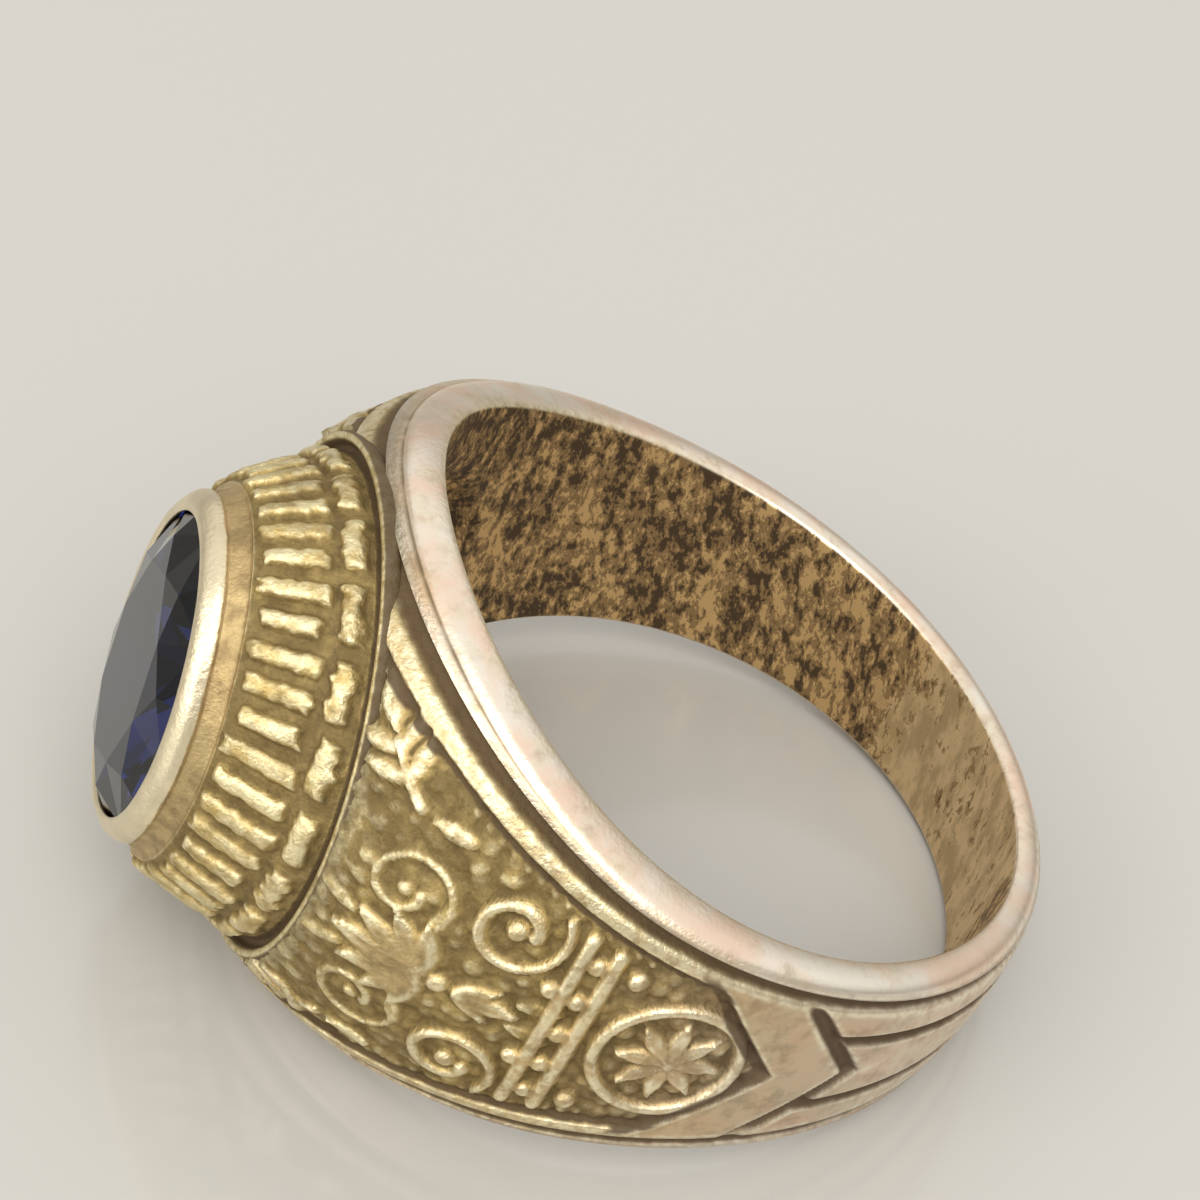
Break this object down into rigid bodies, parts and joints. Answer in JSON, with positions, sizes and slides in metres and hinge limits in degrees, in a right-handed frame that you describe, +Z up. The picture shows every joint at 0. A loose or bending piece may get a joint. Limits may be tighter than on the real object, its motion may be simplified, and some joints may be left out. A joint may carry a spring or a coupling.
{
  "type": "class ring",
  "caption": "Class ring cast in one piece, with an oval bezel, a sunk relief panel on each shoulder and one oval faceted stone, lying on its side.",
  "frame": {"origin": "on the table, under the middle of the ring's bounding box", "axes": "+X to the head and its stone, +Y across the finger, +Z up; the finger axis leans back from +Z by the angle at which the ring lies"},
  "size_m": [0.0264, 0.022, 0.0142],
  "materials": {
    "ring_metal": "worn silver with a warm tarnish, dark in the recesses",
    "gem": "polished dark blue facets"
  },
  "bodies": {
    "root": {"ring_body": "ring_metal", "stone": "gem"}
  },
  "joints": []
}
